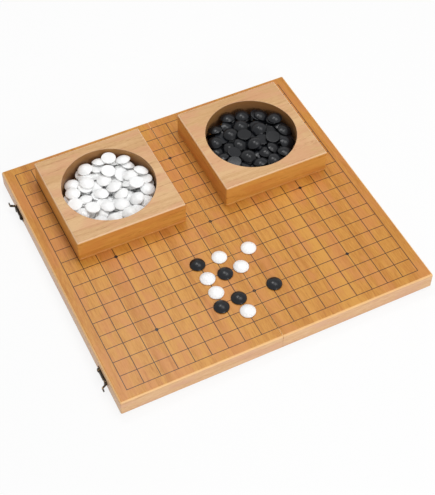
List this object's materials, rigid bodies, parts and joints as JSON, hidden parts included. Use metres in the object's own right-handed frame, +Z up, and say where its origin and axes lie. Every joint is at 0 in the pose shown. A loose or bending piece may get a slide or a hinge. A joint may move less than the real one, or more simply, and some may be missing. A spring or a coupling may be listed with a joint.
{
  "type": "folding go board with stone drawers",
  "caption": "Folding wooden go board that closes into a case, with hooks and catches, and two square lift-out stone drawers with round wells of black and white stones.",
  "frame": {"origin": "middle of the open board, in the plane of its rims, which is the table's surface; the fold axis is the Y axis", "axes": "+X to the right along the board's longer side, towards the half that folds under; +Y to the back, where the drawers stand; +Z up out of the playing surface"},
  "size_m": [0.4829, 0.44, 0.0645],
  "materials": {
    "board_panel": "satin varnish over a warm straight-grained veneer",
    "board_rail": "satin varnish",
    "drawer_wood": "satin varnish over laminated strips",
    "drawer_base_wood": "satin varnish",
    "hinge_metal": "lacquered brass",
    "latch_metal": "dark antique bronze plating, worn at the edges",
    "white_stone": "polished opaque white",
    "black_stone": "soft gloss opaque black"
  },
  "bodies": {
    "left_half": {"left_panel": "board_panel", "left_outer_rail": "board_rail", "left_back_rail": "board_rail", "left_seam_rail": "board_rail", "left_front_rail": "board_rail", "front_hinge_left_leaf": "hinge_metal", "back_hinge_left_leaf": "hinge_metal", "front_hinge_pin": "hinge_metal", "back_hinge_pin": "hinge_metal", "left_hinge_screws": "hinge_metal", "front_hook_plate": "latch_metal", "back_hook_plate": "latch_metal", "front_hook_rivet": "latch_metal", "back_hook_rivet": "latch_metal", "hook_plate_screws": "latch_metal"},
    "right_half": {"right_panel": "board_panel", "right_outer_rail": "board_rail", "right_back_rail": "board_rail", "right_seam_rail": "board_rail", "right_front_rail": "board_rail", "front_hinge_right_leaf": "hinge_metal", "back_hinge_right_leaf": "hinge_metal", "right_hinge_screws": "hinge_metal", "front_catch_plate": "latch_metal", "back_catch_plate": "latch_metal", "front_catch_stud": "latch_metal", "back_catch_stud": "latch_metal", "catch_plate_screws": "latch_metal"},
    "front_hook_arm": {"front_hook": "latch_metal"},
    "back_hook_arm": {"back_hook": "latch_metal"},
    "white_drawer": {"white_drawer_block": "drawer_wood", "white_drawer_base": "drawer_base_wood"},
    "black_drawer": {"black_drawer_block": "drawer_wood", "black_drawer_base": "drawer_base_wood"},
    "white_drawer_stones": {"white_stones": "white_stone"},
    "black_drawer_stones": {"black_stones": "black_stone"},
    "black_stone_on_board_1": {"black_played_stone_1": "black_stone"},
    "black_stone_on_board_2": {"black_played_stone_2": "black_stone"},
    "black_stone_on_board_3": {"black_played_stone_3": "black_stone"},
    "black_stone_on_board_4": {"black_played_stone_4": "black_stone"},
    "black_stone_on_board_5": {"black_played_stone_5": "black_stone"},
    "white_stone_on_board_1": {"white_played_stone_1": "white_stone"},
    "white_stone_on_board_2": {"white_played_stone_2": "white_stone"},
    "white_stone_on_board_3": {"white_played_stone_3": "white_stone"},
    "white_stone_on_board_4": {"white_played_stone_4": "white_stone"},
    "white_stone_on_board_5": {"white_played_stone_5": "white_stone"},
    "white_stone_on_board_6": {"white_played_stone_6": "white_stone"}
  },
  "joints": [
    {"name": "fold", "type": "hinge", "parent": "left_half", "child": "right_half", "pos_m": [0, 0, 0], "axis": [0, 1, 0], "range_deg": [0, 180]},
    {"name": "front_hook_swing", "type": "hinge", "parent": "left_half", "child": "front_hook_arm", "pos_m": [-0.235, -0.151, 0.009], "axis": [1, 0, 0], "range_deg": [-90, 90]},
    {"name": "back_hook_swing", "type": "hinge", "parent": "left_half", "child": "back_hook_arm", "pos_m": [-0.235, 0.138, 0.009], "axis": [-1, 0, 0], "range_deg": [-90, 90]},
    {"name": "white_drawer_lift", "type": "slide", "parent": "left_half", "child": "white_drawer", "axis": [0, 0, 1], "range_m": [0, 0.08]},
    {"name": "black_drawer_lift", "type": "slide", "parent": "right_half", "child": "black_drawer", "axis": [0, 0, 1], "range_m": [0, 0.08]},
    {"name": "white_drawer_stones_lift", "type": "slide", "parent": "white_drawer", "child": "white_drawer_stones", "axis": [0, 0, 1], "range_m": [0, 0.06]},
    {"name": "black_drawer_stones_lift", "type": "slide", "parent": "black_drawer", "child": "black_drawer_stones", "axis": [0, 0, 1], "range_m": [0, 0.06]},
    {"name": "black_stone_on_board_1_lift", "type": "slide", "parent": "left_half", "child": "black_stone_on_board_1", "axis": [0, 0, 1], "range_m": [0, 0.04]},
    {"name": "black_stone_on_board_2_lift", "type": "slide", "parent": "left_half", "child": "black_stone_on_board_2", "axis": [0, 0, 1], "range_m": [0, 0.04]},
    {"name": "black_stone_on_board_3_lift", "type": "slide", "parent": "right_half", "child": "black_stone_on_board_3", "axis": [0, 0, 1], "range_m": [0, 0.04]},
    {"name": "black_stone_on_board_4_lift", "type": "slide", "parent": "left_half", "child": "black_stone_on_board_4", "axis": [0, 0, 1], "range_m": [0, 0.04]},
    {"name": "black_stone_on_board_5_lift", "type": "slide", "parent": "left_half", "child": "black_stone_on_board_5", "axis": [0, 0, 1], "range_m": [0, 0.04]},
    {"name": "white_stone_on_board_1_lift", "type": "slide", "parent": "left_half", "child": "white_stone_on_board_1", "axis": [0, 0, 1], "range_m": [0, 0.04]},
    {"name": "white_stone_on_board_2_lift", "type": "slide", "parent": "right_half", "child": "white_stone_on_board_2", "axis": [0, 0, 1], "range_m": [0, 0.04]},
    {"name": "white_stone_on_board_3_lift", "type": "slide", "parent": "right_half", "child": "white_stone_on_board_3", "axis": [0, 0, 1], "range_m": [0, 0.04]},
    {"name": "white_stone_on_board_4_lift", "type": "slide", "parent": "left_half", "child": "white_stone_on_board_4", "axis": [0, 0, 1], "range_m": [0, 0.04]},
    {"name": "white_stone_on_board_5_lift", "type": "slide", "parent": "left_half", "child": "white_stone_on_board_5", "axis": [0, 0, 1], "range_m": [0, 0.04]},
    {"name": "white_stone_on_board_6_lift", "type": "slide", "parent": "left_half", "child": "white_stone_on_board_6", "axis": [0, 0, 1], "range_m": [0, 0.04]}
  ]
}
